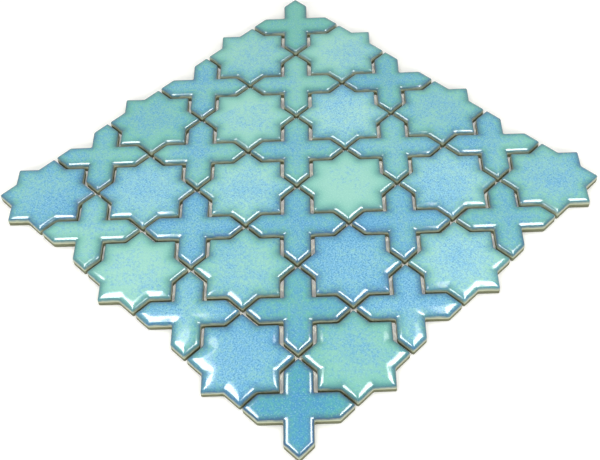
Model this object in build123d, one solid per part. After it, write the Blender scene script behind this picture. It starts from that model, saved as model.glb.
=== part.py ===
from build123d import *
import math
import os

# A mosaic sheet: glazed star and cross tiles, laid in turn like a chessboard and
# bonded by their backs to a thin backing net of glass yarn. The joints are open.
# The sheet lies flat with its glaze up. X and Y run along the sheet's sides, and
# the origin is the middle of the underside. All sizes are in millimetres.

# Laying pattern
tile_module = 50.0  # centre to centre of neighbouring tiles, along the sheet's sides
tiles_per_side = 6
joint_width = 2.2  # open joint between the straight edges of two tiles

# Section of a tile
tile_thickness = 6.5  # back to the flat of the glazed face
rolled_edge_width = 3.2  # side wall in to the flat of the face
rolled_edge_drop = 2.1  # flat of the face down to the side wall
rolled_edge_steps = 4  # outlines that the rolled edge is drawn through

# Backing net: one layer of yarns each way
net_pitch = 8.0
yarn_width = 0.9
yarn_thickness = 0.25
net_setback = 1.0  # deepest notch of the sheet's outline in to the ends of the yarns

# Sizes that follow
root_two = math.sqrt(2)
half_joint = joint_width / 2
cell_reach = tile_module / root_two  # centre of a tile to the corner of its cell
grid_reach = (tiles_per_side - 1) / 2 * tile_module  # middle of the sheet to its outer row
net_thickness = 2 * yarn_thickness
wall_height = tile_thickness - rolled_edge_drop


def tip_reach(inset):
    """Centre to a right-angled tip, for an outline drawn in by inset."""
    return cell_reach - inset * root_two


def arm_half_width(inset):
    """Half the width of a cross's arm, for an outline drawn in by inset."""
    return cell_reach - tile_module / 2 - inset


def star_corners(inset):
    """Eight-pointed star of two crossed squares: a tip, then a notch, eight times."""
    notch_reach = tip_reach(inset) * math.cos(math.radians(45)) / math.cos(math.radians(22.5))
    corners = []
    for point in range(8):
        corners.append(Vector(tip_reach(inset), 0).rotate(Axis.Z, 45 * point))
        corners.append(Vector(notch_reach, 0).rotate(Axis.Z, 45 * point + 22.5))
    return corners


def cross_corners(inset):
    """Cross with pointed arms towards the corners of its cell, arm by arm."""
    half_width = arm_half_width(inset)
    shoulder = tip_reach(inset) - half_width
    corners = []
    for arm in range(4):
        heading = 45 + 90 * arm
        corners.append(Vector(tip_reach(inset), 0).rotate(Axis.Z, heading))
        corners.append(Vector(shoulder, half_width).rotate(Axis.Z, heading))
        corners.append(Vector(half_width, half_width).rotate(Axis.Z, heading))
        corners.append(Vector(half_width, shoulder).rotate(Axis.Z, heading))
    return corners


def outline(corners, height):
    """The flat face inside a closed outline, at a height."""
    raised = [corner + Vector(0, 0, height) for corner in corners]
    return Face(Wire.make_polygon(raised, close=True))


def tile(corners_for):
    """One fired tile: upright walls on the net, then a rolled edge mitred at each corner."""
    walls = extrude(outline(corners_for(half_joint), net_thickness), wall_height, dir=(0, 0, 1))
    wall_top = net_thickness + wall_height
    sections = []
    for step in range(rolled_edge_steps + 1):
        turn = math.radians(90 * step / rolled_edge_steps)
        inset = half_joint + rolled_edge_width * (1 - math.cos(turn))
        height = wall_top + rolled_edge_drop * math.sin(turn)
        sections.append(outline(corners_for(inset), height))
    return walls + loft(sections)


def yarn_layer(heading, bottom):
    """Parallel yarns, spread evenly about the middle of the sheet."""
    notch_reach = grid_reach + arm_half_width(half_joint) * root_two
    yarn_length = 2 * (notch_reach - net_setback)
    yarn_count = 2 * int((yarn_length - yarn_width) / (2 * net_pitch) + 0.5)
    yarn = Box(yarn_length, yarn_width, yarn_thickness, align=(Align.CENTER, Align.CENTER, Align.MIN))
    places = GridLocations(net_pitch, net_pitch, 1, yarn_count)
    yarns = [Rot(0, 0, heading) * place * Pos(0, 0, bottom) * yarn for place in places]
    return Compound(children=yarns)


os.makedirs("parts", exist_ok=True)

star = tile(star_corners)
cross = tile(cross_corners)
for row in range(tiles_per_side):
    for column in range(tiles_per_side):
        kind, shape = ("star", star) if (row + column) % 2 == 0 else ("cross", cross)
        centre = Pos(column * tile_module - grid_reach, row * tile_module - grid_reach, 0)
        export_step(centre * shape, f"parts/{kind}_tile_row{row + 1}_col{column + 1}.step")

export_step(yarn_layer(90, 0), "parts/net_yarns_lower.step")
export_step(yarn_layer(0, yarn_thickness), "parts/net_yarns_upper.step")
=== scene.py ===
import bmesh
import bpy
import math
import random
from mathutils import Matrix, Vector
from mathutils.geometry import intersect_point_line


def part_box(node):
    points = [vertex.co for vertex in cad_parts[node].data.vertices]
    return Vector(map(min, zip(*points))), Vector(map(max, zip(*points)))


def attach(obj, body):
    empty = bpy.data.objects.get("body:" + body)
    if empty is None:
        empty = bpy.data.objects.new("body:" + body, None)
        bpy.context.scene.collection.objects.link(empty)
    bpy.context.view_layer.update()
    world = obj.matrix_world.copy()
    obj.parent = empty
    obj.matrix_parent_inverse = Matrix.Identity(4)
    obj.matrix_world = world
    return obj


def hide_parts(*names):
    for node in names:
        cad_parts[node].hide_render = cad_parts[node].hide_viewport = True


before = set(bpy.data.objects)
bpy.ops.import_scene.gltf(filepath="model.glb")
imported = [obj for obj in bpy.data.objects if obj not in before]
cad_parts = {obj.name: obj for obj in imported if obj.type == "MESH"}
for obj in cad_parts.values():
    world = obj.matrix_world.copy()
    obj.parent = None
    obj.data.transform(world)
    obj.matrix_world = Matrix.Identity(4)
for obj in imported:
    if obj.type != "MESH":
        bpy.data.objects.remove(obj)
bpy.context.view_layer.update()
mm = 0.001
rng = random.Random(18)
print("frame loaded,", len(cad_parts), "nodes")


def linear(hexColour):  # "#rrggbb" as sRGB -> linear RGBA
    parts = [int(hexColour[i:i + 2], 16) / 255 for i in (1, 3, 5)]
    return tuple(c / 12.92 if c < 0.04045 else ((c + 0.055) / 1.055) ** 2.4 for c in parts) + (1.0,)


def addNode(tree, kind, settings=None, inputs=None):  # an input is a value, or a socket to link from
    node = tree.nodes.new(kind)
    for key, value in (settings or {}).items():
        setattr(node, key, value)
    for key, value in (inputs or {}).items():
        if isinstance(value, bpy.types.NodeSocket):
            tree.links.new(value, node.inputs[key])
        else:
            node.inputs[key].default_value = value
    return node


def newMaterial(name):
    material = bpy.data.materials.new(name)
    material.use_nodes = True
    material.node_tree.nodes.clear()
    return material, material.node_tree


def finishPiece(name, bm, material):  # bmesh in mm -> object in metres at the origin
    bmesh.ops.recalc_face_normals(bm, faces=bm.faces)
    bmesh.ops.scale(bm, vec=(mm, mm, mm), verts=bm.verts)
    mesh = bpy.data.meshes.new(name)
    bm.to_mesh(mesh)
    bm.free()
    mesh.materials.append(material)
    mesh.shade_smooth()
    piece = bpy.data.objects.new(name, mesh)
    bpy.context.scene.collection.objects.link(piece)
    return piece


# Sheet and tile sizes in mm, read off the frame
starLow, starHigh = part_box("star_tile_row1_col1")
rootTwo = math.sqrt(2)
tileModule = (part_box("star_tile_row1_col3")[0].x - starLow.x) / mm / 2
starReach = (starHigh.x - starLow.x) / mm / 2
tileBack = starLow.z / mm
tileTop = starHigh.z / mm
joint = (tileModule / rootTwo - starReach) * rootTwo
armHalf = tileModule / rootTwo - tileModule / 2 - joint / 2
rimDrop = 2.1  # flat of the face down to the side wall, as in the solids
rimHeight = tileTop - rimDrop
sameHeight = 0.01  # heights closer than this count as one
print("module %.2f mm, star reach %.2f mm, joint %.2f mm" % (tileModule, starReach, joint))

tileForm = {
    "rimRound": (0.9, 1.3),  # width and drop of the tight round at the rim
    "pillow": {"star": (4.6, 0.75), "cross": (3.8, 0.7)},  # width and drop of the broad swell inside it
    "ringInsets": (0, 0.1, 0.3, 0.6, 1.0, 1.4, 1.9, 2.5, 3.2, 4.0, 5.0, 6.2, 7.4, 8.6),
    "innerInsets": {"star": (10, 13, 16, 19, 22), "cross": ()},  # more rings for the middle of a star
    "edgeCuts": 13,  # points along each straight edge
    "runPower": {"star": 3.2, "cross": 6.0},  # how far the glaze runs round the corners: less is rounder
    "smoothBy": 0.5,  # how far a pass of smoothing moves each point
    "bluntPasses": 2,  # smoothing that blunts the tips
    "levelPasses": 10,  # smoothing that levels the glaze
    "levelFrom": 0.5,  # it levels from this far inside the rim
    "turnDeg": 0.3,  # how unevenly the tiles were laid
    "shiftMm": 0.1,
    "tiltMm": 0.08,
}


def starRing(inset):  # tips and notches in turn
    tip = starReach - inset * rootTwo
    notch = tip * math.cos(math.radians(45)) / math.cos(math.radians(22.5))
    ring = []
    for k in range(16):
        turn = Matrix.Rotation(math.radians(22.5 * k), 3, "Z")
        ring.append(turn @ Vector((notch if k % 2 else tip, 0, 0)))
    return ring


def crossRing(inset):  # tip, shoulder, inner corner and next shoulder, arm by arm
    tip = starReach - inset * rootTwo
    half = armHalf - inset
    ring = []
    for k in range(4):
        turn = Matrix.Rotation(math.radians(45 + 90 * k), 3, "Z")
        for x, y in ((tip, 0), (tip - half, half), (half, half), (half, tip - half)):
            ring.append(turn @ Vector((x, y, 0)))
    return ring


def softInset(point, outline, power):  # distance in from the outline, eased where two edges are near
    total = 0
    for k in range(16):
        along = intersect_point_line(point, outline[k - 1], outline[k])[1]
        nearest = outline[k - 1].lerp(outline[k], min(max(along, 0), 1))
        total += max((point - nearest).length, 1e-4) ** -power
    return total ** (-1 / power)


def blankTile(kind):  # low hipped tile with its rings, before the edge is rolled
    bm = bmesh.new()
    ringFor = starRing if kind == "star" else crossRing
    fromRim = bm.verts.layers.float.new("fromRim")
    levels = [(0, tileBack), (0, (tileBack + rimHeight) / 2)]
    for inset in tileForm["ringInsets"] + tileForm["innerInsets"][kind]:
        levels.append((inset, rimHeight + inset))
    loops = []
    for inset, height in levels:
        ring = [bm.verts.new(point + Vector((0, 0, height))) for point in ringFor(inset)]
        loops.append([bm.edges.new((ring[k - 1], ring[k])) for k in range(16)])
    for lower, upper in zip(loops, loops[1:]):
        bmesh.ops.bridge_loops(bm, edges=lower + upper)
    bmesh.ops.contextual_create(bm, geom=loops[0])
    bmesh.ops.contextual_create(bm, geom=loops[-1])
    rings = [edge for loop in loops for edge in loop]
    bmesh.ops.subdivide_edges(bm, edges=rings, cuts=tileForm["edgeCuts"], use_grid_fill=True)

    # how far each point is inside the rim, or below it on the walls
    outline = ringFor(0)
    for vert in bm.verts:
        vert[fromRim] = vert.co.z - rimHeight
        if vert.co.z > rimHeight - sameHeight:
            flat = Vector((vert.co.x, vert.co.y, 0))
            vert[fromRim] = softInset(flat, outline, tileForm["runPower"][kind])
    for _ in range(tileForm["bluntPasses"]):
        bmesh.ops.smooth_vert(
            bm, verts=bm.verts, factor=tileForm["smoothBy"], use_axis_x=True, use_axis_y=True)
    return bm


def rollEdge(bm, kind, swellBy, fallBy):
    fromRim = bm.verts.layers.float["fromRim"]
    roundWidth, roundDrop = tileForm["rimRound"]
    pillowWidth, pillowDrop = tileForm["pillow"][kind]
    pillowWidth *= swellBy
    pillowDrop *= fallBy
    for vert in bm.verts:
        if vert[fromRim] >= 0:
            out = max(1 - vert[fromRim] / roundWidth, 0)
            swell = max(1 - vert[fromRim] / pillowWidth, 0)
            roll = roundDrop * (1 - math.sqrt(1 - out * out))
            vert.co.z = tileTop - roll - pillowDrop * swell * swell
    inside = [vert for vert in bm.verts if vert[fromRim] > tileForm["levelFrom"]]
    for _ in range(tileForm["levelPasses"]):
        bmesh.ops.smooth_vert(bm, verts=inside, factor=tileForm["smoothBy"], use_axis_z=True)


def placeTile(bm, centre):  # a small turn, shift and lean, as laid by hand
    turn = math.radians(rng.uniform(-1, 1) * tileForm["turnDeg"])
    shift = Vector((rng.uniform(-1, 1), rng.uniform(-1, 1), 0)) * tileForm["shiftMm"]
    lean = Vector((rng.uniform(-1, 1), rng.uniform(-1, 1), 0)) * tileForm["tiltMm"] / starReach
    for vert in bm.verts:
        if vert.co.z > tileBack + sameHeight:
            vert.co.z += lean.dot(vert.co) - lean.length * starReach
    bmesh.ops.rotate(bm, cent=(0, 0, 0), matrix=Matrix.Rotation(turn, 3, "Z"), verts=bm.verts)
    bmesh.ops.translate(bm, vec=centre + shift, verts=bm.verts)


# Reactive glaze on fired stoneware: a clear glassy coat over a speckled blue and green ground,
# paler where it pools, dusky near the rim and sage where it thins over it, bare clay walls below
# the clay walls carry painted shade: lit at the top, darker deeper in the joint
glaze = {
    "thinGreen": "#4DAF9B",
    "thinBlue": "#3796C4",
    "poolGreen": "#ACE4D2",
    "poolBlue": "#8CD2EE",
    "fleckBlue": "#2B80B6",
    "fleckPale": "#B9E6EE",
    "fringe": "#264066",
    "rimSage": "#9DAB95",
    "clayLitTop": "#C0C4A6",  # top of the bare wall, painted lighter as if lit
    "clayShadedDeep": "#787B62",  # deeper in the joint, painted darker as shade
    "patterns": {  # size in mm, detail, roughness
        "fleck": (1.0, 3, 0.65),
        "grain": (2.2, 2, 0.6),
        "mottle": (7.0, 3, 0.6),
        "drift": (38.0, 1, 0.5),
        "wave": (13.0, 1, 0.5),
        "sand": (0.6, 3, 0.5),
    },
    "patternSpan": (0.3, 0.7),  # where nearly all of a pattern's values lie
    "blueSwing": {"drift": 0.3, "mottle": 0.22, "grain": 0.36},  # how far each one shifts the blue
    "rimWander": 0.25,  # mm that the edge of the glaze wanders
    "bands": {  # from and to, in mm inside the rim, what it gives at each, and the blend
        "blue": (0.5, 13.0, -0.3, 0.1, "SMOOTHSTEP"),
        "pool": (0.0, 9.0, 0.3, 1.0, "SMOOTHSTEP"),
        "fringe": (0.0, 5.6, 0.92, 0.0, "LINEAR"),
        "sage": (-0.3, 0.5, 1.0, 0.0, "SMOOTHSTEP"),
        "bare": (-0.9, -0.3, 1.0, 0.0, "SMOOTHSTEP"),
        # painted shade down the clay wall, from dark below to lit at the top
        "wallLitTop": (-1.9, -0.9, 0.0, 1.0, "SMOOTHSTEP"),
    },
    "fringePower": 2.0,
    "dusk": (1.2, 0.75),  # fringe of a thin glaze, and of one that pooled deep
    "darkFlecks": (0.42, 0.66),  # fleck pattern where they start, and where they are full
    "darkStrength": (0.1, 0.85),  # where it fired green, and where it fired blue
    "paleFlecks": (0.46, 0.28),
    "paleStrength": 0.36,
    "roughness": (0.3, 0.85),  # under the glassy coat, and on bare clay
}


def glazedTileMaterial():
    material, tree = newMaterial("reactive_glaze_on_stoneware")
    soft = {"interpolation_type": "SMOOTHSTEP"}
    tint = {"data_type": "RGBA"}
    place = addNode(tree, "ShaderNodeTexCoord").outputs["Object"]
    fromRim = addNode(tree, "ShaderNodeAttribute", {"attribute_name": "fromRim"}).outputs["Fac"]
    lot = addNode(tree, "ShaderNodeAttribute", {"attribute_name": "lot"}).outputs["Fac"]
    share = addNode(tree, "ShaderNodeAttribute", {"attribute_name": "pool"}).outputs["Fac"]
    pattern = {}
    for name, (size, detail, roughness) in glaze["patterns"].items():
        pattern[name] = addNode(tree, "ShaderNodeTexNoise", inputs={
            "Vector": place, "Scale": 1 / (size * mm), "Detail": detail,
            "Roughness": roughness}).outputs["Fac"]

    # bands round the tile: the two inner ones keep to the rim, the others wander a little
    low, high = glaze["patternSpan"]
    wander = addNode(tree, "ShaderNodeMapRange", inputs={
        "Value": pattern["mottle"], "From Min": low, "From Max": high,
        "To Min": -glaze["rimWander"], "To Max": glaze["rimWander"]}).outputs[0]
    edge = addNode(tree, "ShaderNodeMath", {"operation": "SUBTRACT"}, {0: fromRim, 1: wander}).outputs[0]
    band = {}
    for name, (start, end, atStart, atEnd, blend) in glaze["bands"].items():
        band[name] = addNode(tree, "ShaderNodeMapRange", {"interpolation_type": blend}, {
            "Value": fromRim if name in ("blue", "pool") else edge, "From Min": start, "From Max": end,
            "To Min": atStart, "To Max": atEnd}).outputs[0]

    # how blue: kiln lot, a slow drift over the sheet, mottle and grain in a tile, greener near the rim
    changes = []
    for name, swing in glaze["blueSwing"].items():
        changes.append(addNode(tree, "ShaderNodeMapRange", inputs={
            "Value": pattern[name], "From Min": low, "From Max": high,
            "To Min": -swing, "To Max": swing}).outputs[0])
    blue = lot
    for change in changes + [band["blue"]]:
        blue = addNode(tree, "ShaderNodeMath", {"operation": "ADD"}, {0: blue, 1: change}).outputs[0]
    blue = addNode(tree, "ShaderNodeClamp", inputs={"Value": blue}).outputs[0]

    # how deep the glaze pools: each tile's own share, less towards the rim
    pool = addNode(tree, "ShaderNodeMath", {"operation": "MULTIPLY"}, {0: share, 1: band["pool"]}).outputs[0]
    thin = addNode(tree, "ShaderNodeMix", tint, {
        "Factor": blue, "A": linear(glaze["thinGreen"]), "B": linear(glaze["thinBlue"])}).outputs["Result"]
    deep = addNode(tree, "ShaderNodeMix", tint, {
        "Factor": blue, "A": linear(glaze["poolGreen"]), "B": linear(glaze["poolBlue"])}).outputs["Result"]
    ground = addNode(tree, "ShaderNodeMix", tint, {"Factor": pool, "A": thin, "B": deep}).outputs["Result"]

    # dark flecks, stronger where it fired blue, and pale ones between them
    strength = addNode(tree, "ShaderNodeMapRange", inputs={
        "Value": blue, "To Min": glaze["darkStrength"][0], "To Max": glaze["darkStrength"][1]}).outputs[0]
    dark = addNode(tree, "ShaderNodeMapRange", soft, {
        "Value": pattern["fleck"], "From Min": glaze["darkFlecks"][0], "From Max": glaze["darkFlecks"][1],
        "To Max": strength}).outputs[0]
    pale = addNode(tree, "ShaderNodeMapRange", soft, {
        "Value": pattern["fleck"], "From Min": glaze["paleFlecks"][0], "From Max": glaze["paleFlecks"][1],
        "To Max": glaze["paleStrength"]}).outputs[0]

    # the edge: a dusky fringe that fades inwards, and a sage line over the rim
    fringe = addNode(tree, "ShaderNodeMath", {"operation": "POWER"}, {
        0: band["fringe"], 1: glaze["fringePower"]}).outputs[0]
    dusk = addNode(tree, "ShaderNodeMapRange", inputs={
        "Value": share, "To Min": glaze["dusk"][0], "To Max": glaze["dusk"][1]}).outputs[0]
    fringe = addNode(tree, "ShaderNodeMath", {"operation": "MULTIPLY"}, {0: fringe, 1: dusk}).outputs[0]
    layers = {"fleckBlue": dark, "fleckPale": pale, "fringe": fringe, "rimSage": band["sage"]}
    for name, amount in layers.items():
        ground = addNode(tree, "ShaderNodeMix", tint, {
            "Factor": amount, "A": ground, "B": linear(glaze[name])}).outputs["Result"]

    # bare clay down the walls with painted shade: paler at the top, darker deeper in the joint
    clay = addNode(tree, "ShaderNodeMix", tint, {
        "Factor": band["wallLitTop"], "A": linear(glaze["clayShadedDeep"]),
        "B": linear(glaze["clayLitTop"])}).outputs["Result"]
    colour = addNode(tree, "ShaderNodeMix", tint, {
        "Factor": band["bare"], "A": ground, "B": clay}).outputs["Result"]

    # slow waves in the glaze, sandy grain on the bare clay
    sand = addNode(tree, "ShaderNodeMath", {"operation": "MULTIPLY"}, {
        0: pattern["sand"], 1: band["bare"]}).outputs[0]
    waved = addNode(tree, "ShaderNodeBump", inputs={
        "Height": pattern["wave"], "Strength": 0.1, "Distance": 0.4 * mm}).outputs["Normal"]
    grained = addNode(tree, "ShaderNodeBump", inputs={
        "Height": sand, "Strength": 0.5, "Distance": 0.15 * mm, "Normal": waved}).outputs["Normal"]
    rough = addNode(tree, "ShaderNodeMapRange", inputs={
        "Value": band["bare"], "To Min": glaze["roughness"][0], "To Max": glaze["roughness"][1]}).outputs[0]
    glassy = addNode(tree, "ShaderNodeMath", {"operation": "SUBTRACT"}, {0: 1.0, 1: band["bare"]}).outputs[0]
    shader = addNode(tree, "ShaderNodeBsdfPrincipled", inputs={
        "Base Color": colour, "Roughness": rough, "IOR": 1.5, "Specular IOR Level": 0.2,
        "Coat Weight": glassy, "Coat Roughness": 0.06, "Coat IOR": 1.6, "Normal": grained})
    addNode(tree, "ShaderNodeOutputMaterial", inputs={"Surface": shader.outputs["BSDF"]})
    return material


# Tiles by kiln lot: how blue each one fired (0 sea green to 1 sky blue), how deep its glaze pooled
# (0 thin to 1 deep), and how many times the usual its edge swells in and falls
kilnLots = {
    "blue": {"star": (0.48, 0.7), "cross": (0.5, 0.75)},
    "pool": {"star": (0.62, 0.82), "cross": (0.36, 0.56)},
    "swell": (0.85, 1.15),
    "farGreener": 0.05,  # per tile towards the far corner
    "standOut": {
        "star_tile_row1_col1": {"blue": 0.8, "pool": 0.55},
        "cross_tile_row1_col2": {"blue": 0.3, "pool": 0.6},
        "star_tile_row1_col3": {"blue": 0.15, "pool": 0.72, "swell": 1.1, "fall": 1.4},
        "cross_tile_row1_col4": {"blue": 0.7, "pool": 0.6, "swell": 1.35, "fall": 1.8},
        "star_tile_row1_col5": {"blue": 0.9, "pool": 0.58, "swell": 1.3, "fall": 2.0},
        "cross_tile_row1_col6": {"blue": 0.7, "pool": 0.0},
        "star_tile_row2_col2": {"blue": 0.75, "pool": 0.8},
        "cross_tile_row2_col3": {"blue": 1.05, "pool": 0.55},
        "star_tile_row2_col4": {"blue": 0.35},
        "cross_tile_row2_col5": {"blue": 0.55, "pool": 0.22},
        "star_tile_row2_col6": {"blue": 0.2, "pool": 0.48, "swell": 1.15, "fall": 1.7},
        "star_tile_row3_col1": {"blue": 0.3, "pool": 0.4},
        "star_tile_row3_col3": {"blue": 0.6, "pool": 0.85},
        "star_tile_row3_col5": {"blue": 0.85, "pool": 0.7},
        "cross_tile_row3_col6": {"blue": 0.85, "pool": 0.65, "swell": 1.35, "fall": 1.8},
        "star_tile_row4_col2": {"blue": 0.1, "pool": 0.75},
        "star_tile_row4_col4": {"blue": -0.15, "pool": 0.75},
        "cross_tile_row4_col5": {"blue": 0.95, "pool": 0.5},
        "star_tile_row4_col6": {"blue": 0.5, "pool": 0.9, "swell": 1.1, "fall": 1.4},
        "star_tile_row5_col1": {"blue": 0.3},
        "cross_tile_row5_col2": {"blue": 0.2, "pool": 0.5},
        "star_tile_row5_col3": {"blue": 0.6, "pool": 0.95},
        "star_tile_row5_col5": {"blue": 0.7, "pool": 0.9},
        "cross_tile_row6_col1": {"blue": 0.1, "pool": 0.25},
        "star_tile_row6_col2": {"blue": 0.25},
        "star_tile_row6_col4": {"blue": 0.45, "pool": 0.55},
        "star_tile_row6_col6": {"blue": 0.55, "pool": 0.6},
    },
}


def makeTiles():
    material = glazedTileMaterial()
    blanks = {"star": blankTile("star"), "cross": blankTile("cross")}
    for node in sorted(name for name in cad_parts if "_tile_" in name):
        low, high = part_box(node)
        centre = Vector(((low.x + high.x) / 2 / mm, (low.y + high.y) / 2 / mm, 0))
        kind = node.split("_")[0]
        fired = {
            "blue": rng.uniform(*kilnLots["blue"][kind]),
            "pool": rng.uniform(*kilnLots["pool"][kind]),
            "swell": rng.uniform(*kilnLots["swell"]),
            "fall": 1.0,
        }
        fired["blue"] -= kilnLots["farGreener"] * (centre.y - centre.x) / tileModule
        fired.update(kilnLots["standOut"].get(node, {}))
        bm = blanks[kind].copy()
        rollEdge(bm, kind, fired["swell"], fired["fall"])
        placeTile(bm, centre)
        lot = bm.verts.layers.float.new("lot")
        pool = bm.verts.layers.float.new("pool")
        for vert in bm.verts:
            vert[lot] = fired["blue"]
            vert[pool] = fired["pool"]
        piece = finishPiece("glazed_" + node, bm, material)
        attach(piece, "root")
        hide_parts(node)


makeTiles()
print("tiles made")

# Backing net of glass yarn: flattened bundles that wander a little, one layer each way
yarn = {
    "pitchMm": 8.0,
    "widthMm": 0.9,
    "sides": 6,
    "cuts": 9,  # points along a yarn, for its wander
    "wanderMm": 0.15,
    "waveMm": (70, 130),
    "white": "#F4F3E6",
    "shade": "#E4E4D2",
    "fibreMm": 0.12,  # real filaments are about 0.01, drawn coarser so that they show
    "stretch": 0.06,  # draws the streaks out along the yarn
    "paintedGlow": 0.4,  # painted glow on the yarn, standing in for light from the white floor through the thin glass
}


def glassYarnMaterial(alongX):  # pale twisted fibres: fine streaks along the yarn, a soft shine and a painted glow
    material, tree = newMaterial("glass_yarn_along_" + ("x" if alongX else "y"))
    place = addNode(tree, "ShaderNodeTexCoord").outputs["Object"]
    stretch = (yarn["stretch"], 1, 1) if alongX else (1, yarn["stretch"], 1)
    along = addNode(tree, "ShaderNodeMapping", inputs={"Vector": place, "Scale": stretch}).outputs["Vector"]
    fibre = addNode(tree, "ShaderNodeTexNoise", inputs={
        "Vector": along, "Scale": 1 / (yarn["fibreMm"] * mm), "Detail": 2}).outputs["Fac"]
    streak = addNode(tree, "ShaderNodeMapRange", inputs={
        "Value": fibre, "From Min": 0.35, "From Max": 0.65}).outputs[0]
    colour = addNode(tree, "ShaderNodeMix", {"data_type": "RGBA"}, {
        "Factor": streak, "A": linear(yarn["shade"]), "B": linear(yarn["white"])}).outputs["Result"]
    twist = addNode(tree, "ShaderNodeBump", inputs={
        "Height": fibre, "Strength": 0.3, "Distance": 0.05 * mm}).outputs["Normal"]
    # the emission is a painted glow, not a lamp
    shader = addNode(tree, "ShaderNodeBsdfPrincipled", inputs={
        "Base Color": colour, "Roughness": 0.45, "IOR": 1.5, "Emission Color": linear(yarn["white"]),
        "Emission Strength": yarn["paintedGlow"], "Normal": twist})
    addNode(tree, "ShaderNodeOutputMaterial", inputs={"Surface": shader.outputs["BSDF"]})
    return material


def makeYarns(node, alongX):
    low, high = (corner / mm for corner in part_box(node))
    length = high.x - low.x if alongX else high.y - low.y
    spread = (high.y - low.y if alongX else high.x - low.x) - yarn["widthMm"]
    count = round(spread / yarn["pitchMm"]) + 1
    flat = Matrix.Diagonal((yarn["widthMm"] / 2, (high.z - low.z) / 2, 1, 1))
    upright = Matrix.Rotation(math.radians(90), 4, "X") @ flat  # ring across the yarn, which runs along Y
    bm = bmesh.new()
    for k in range(count):
        side = (k - (count - 1) / 2) * spread / (count - 1)
        spot = Matrix.Translation((side, -length / 2, (low.z + high.z) / 2))
        ring = bmesh.ops.create_circle(
            bm, cap_ends=True, segments=yarn["sides"], radius=1, matrix=spot @ upright)
        grown = bmesh.ops.extrude_face_region(
            bm, geom=ring["verts"][0].link_faces[:], use_keep_orig=True)["geom"]
        far = [item for item in grown if isinstance(item, bmesh.types.BMVert)]
        bmesh.ops.translate(bm, vec=(0, length, 0), verts=far)
        longEdges = [edge for vert in far for edge in vert.link_edges if edge.calc_length() > length / 2]
        cut = bmesh.ops.subdivide_edges(
            bm, edges=longEdges, cuts=yarn["cuts"], use_grid_fill=True)["geom_inner"]
        wave = 2 * math.pi / rng.uniform(*yarn["waveMm"])
        start = rng.uniform(0, 2 * math.pi)
        for vert in [item for item in cut if isinstance(item, bmesh.types.BMVert)]:
            vert.co.x += yarn["wanderMm"] * math.sin(vert.co.y * wave + start)
    if alongX:
        quarterTurn = Matrix.Rotation(math.radians(-90), 3, "Z")
        bmesh.ops.rotate(bm, cent=(0, 0, 0), matrix=quarterTurn, verts=bm.verts)
    piece = finishPiece("woven_" + node, bm, glassYarnMaterial(alongX))
    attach(piece, "root")
    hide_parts(node)


makeYarns("net_yarns_lower", False)
makeYarns("net_yarns_upper", True)
print("backing net made")

# Camera at the photograph's angle, worked out from where the tips meet
cameraView = {
    "eyeMm": (355.5, -328.2, 534.0),
    "azimuth": 47.25,
    "elevation": 50.007,
    "roll": -3.55,
    "lensMm": 61.06,
    "sensorMm": 36.0,
}


def makeCamera():
    data = bpy.data.cameras.new("photo_camera")
    data.sensor_width = cameraView["sensorMm"]
    data.lens = cameraView["lensMm"]
    camera = bpy.data.objects.new("photo_camera", data)
    bpy.context.scene.collection.objects.link(camera)
    turn = Matrix.Rotation(math.radians(cameraView["azimuth"]), 4, "Z")
    tip = Matrix.Rotation(math.radians(90 - cameraView["elevation"]), 4, "X")
    roll = Matrix.Rotation(math.radians(cameraView["roll"]), 4, "Z")
    camera.matrix_world = Matrix.Translation(Vector(cameraView["eyeMm"]) * mm) @ turn @ tip @ roll
    bpy.context.scene.camera = camera


makeCamera()

# Studio: white floor and surround, a softbox over each side as seen by the camera, a strip in
# each for the bright glints, and slanting fills that reach down into the joints
studio = {
    "floorMm": 6000,
    "floorColour": "#F3F3EE",
    "floorLift": (0.22, 0.95),  # its own light by the sheet, and far off where the lamps don't reach
    "floorReach": (0.4, 1.6),  # metres out for each
    "surround": 0.1,  # what the surround gives as light, while it looks white
    "facing": 45,  # degrees from the sheet's side to the camera's side
    "lamps": {  # right, away, up, width, length (m), power (W), turn, tilt, what it gives
        "leftSoftbox": (-0.41, 0.215, 1.0, 0.42, 0.7, 3.4, 0, 0, "light and shine"),
        "rightSoftbox": (0.41, 0.215, 1.0, 0.42, 0.7, 3.4, 0, 0, "light and shine"),
        "leftStrip": (-0.4, 0.2, 0.99, 0.3, 0.6, 6.0, 0, 0, "shine"),
        "rightStrip": (0.4, 0.2, 0.99, 0.3, 0.6, 6.0, 0, 0, "shine"),
        "frontFill": (0, -0.98, 0.58, 1.2, 0.25, 8.0, 0, 60, "light"),
        "leftFill": (-1.0, -0.35, 0.6, 1.0, 0.25, 4.6, -71, 60, "light"),
        "rightFill": (1.0, -0.35, 0.6, 1.0, 0.25, 4.6, 71, 60, "light"),
    },
}


def seenRays(tree):  # 1 for the camera and for what it sees mirrored or through glass, 0 for plain light
    path = addNode(tree, "ShaderNodeLightPath")
    seen = path.outputs["Is Camera Ray"]
    for ray in ("Is Glossy Ray", "Is Transmission Ray"):
        seen = addNode(tree, "ShaderNodeMath", {"operation": "MAXIMUM"}, {
            0: seen, 1: path.outputs[ray]}).outputs[0]
    return seen


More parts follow.
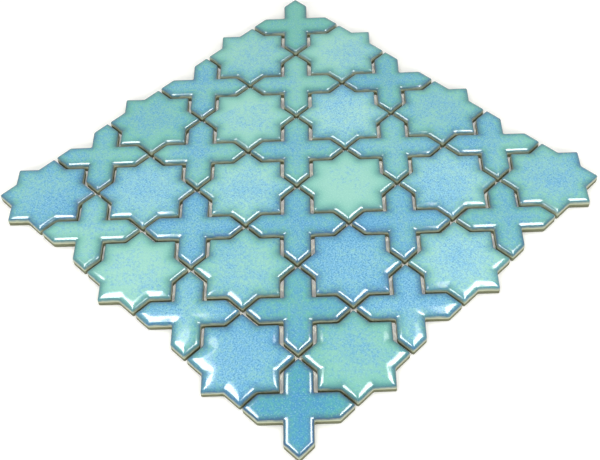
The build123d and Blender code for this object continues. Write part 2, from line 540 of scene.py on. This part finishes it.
def makeLamps():
    right = Vector((1, 1, 0)).normalized()
    away = Vector((-1, 1, 0)).normalized()
    for name, (toRight, toAway, up, width, length, power, turn, tilt, gives) in studio["lamps"].items():
        data = bpy.data.lights.new(name, "AREA")
        data.shape = "RECTANGLE"
        data.size = width
        data.size_y = length
        data.energy = power
        lamp = bpy.data.objects.new(name, data)
        bpy.context.scene.collection.objects.link(lamp)
        spot = right * toRight + away * toAway + Vector((0, 0, up))
        turned = Matrix.Rotation(math.radians(studio["facing"] + turn), 4, "Z")
        tilted = Matrix.Rotation(math.radians(tilt), 4, "X")
        lamp.matrix_world = Matrix.Translation(spot) @ (turned @ tilted)
        lamp.visible_diffuse = "light" in gives
        lamp.visible_glossy = "shine" in gives


def makeSurround():
    world = bpy.data.worlds.new("white_surround")
    world.use_nodes = True
    tree = world.node_tree
    tree.nodes.clear()
    level = addNode(tree, "ShaderNodeMapRange", inputs={
        "Value": seenRays(tree), "To Min": studio["surround"], "To Max": 1.0})
    backdrop = addNode(tree, "ShaderNodeBackground", inputs={"Strength": level.outputs["Result"]})
    addNode(tree, "ShaderNodeOutputWorld", inputs={"Surface": backdrop.outputs["Background"]})
    bpy.context.scene.world = world


def makeFloor():  # white paper: matt, takes the sheet's shadow and fades into the white surround
    bm = bmesh.new()
    bmesh.ops.create_grid(bm, x_segments=1, y_segments=1, size=studio["floorMm"])
    material, tree = newMaterial("white_paper_floor")
    paper = addNode(tree, "ShaderNodeBsdfDiffuse", inputs={"Color": linear(studio["floorColour"])})
    place = addNode(tree, "ShaderNodeTexCoord").outputs["Object"]
    reach = addNode(tree, "ShaderNodeVectorMath", {"operation": "LENGTH"}, {0: place}).outputs["Value"]
    lift = addNode(tree, "ShaderNodeMapRange", {"interpolation_type": "SMOOTHSTEP"}, {
        "Value": reach, "From Min": studio["floorReach"][0], "From Max": studio["floorReach"][1],
        "To Min": studio["floorLift"][0], "To Max": studio["floorLift"][1]}).outputs[0]
    lift = addNode(tree, "ShaderNodeMath", {"operation": "MULTIPLY"}, {0: seenRays(tree), 1: lift})
    glow = addNode(tree, "ShaderNodeEmission", inputs={"Strength": lift.outputs[0]})
    both = addNode(tree, "ShaderNodeAddShader", inputs={0: paper.outputs[0], 1: glow.outputs[0]})
    addNode(tree, "ShaderNodeOutputMaterial", inputs={"Surface": both.outputs[0]})
    finishPiece("studio_floor", bm, material)


makeLamps()
makeSurround()
makeFloor()
bpy.context.scene.view_settings.view_transform = "Standard"
print("camera and studio made")
